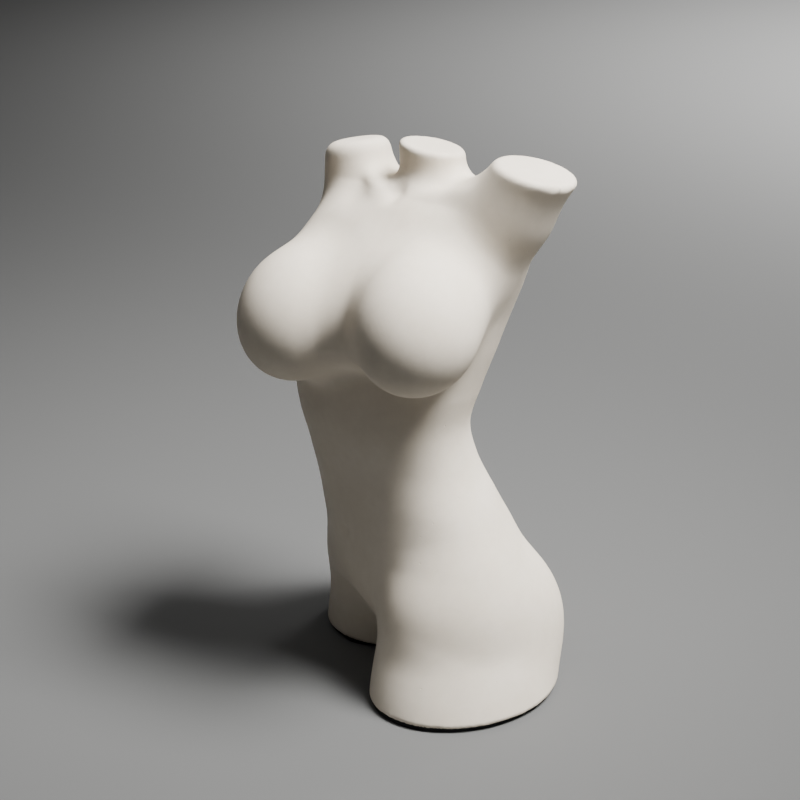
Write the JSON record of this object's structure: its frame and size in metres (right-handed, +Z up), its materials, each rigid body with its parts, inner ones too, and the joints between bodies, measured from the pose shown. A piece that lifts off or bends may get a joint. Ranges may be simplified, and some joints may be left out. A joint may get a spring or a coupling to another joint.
{
  "type": "torso anatomy model",
  "caption": "Hollow plaster cast of a standing female torso for drawing and surface anatomy lessons, cut flat at neck, arms and thighs, standing on soft foot pads.",
  "frame": {"origin": "on the floor, under the middle of the object's bounding box", "axes": "+Z up; the hips face -Y; the figure's left side is +X"},
  "size_m": [0.16, 0.1649, 0.2789],
  "materials": {
    "plaster": "matte",
    "plaster_plug": "matte",
    "foam_pad": "matte"
  },
  "bodies": {
    "root": {"torso_shell": "plaster", "left_thigh_plug": "plaster_plug", "right_thigh_plug": "plaster_plug", "left_foot_pad": "foam_pad", "right_foot_pad": "foam_pad"}
  },
  "joints": []
}
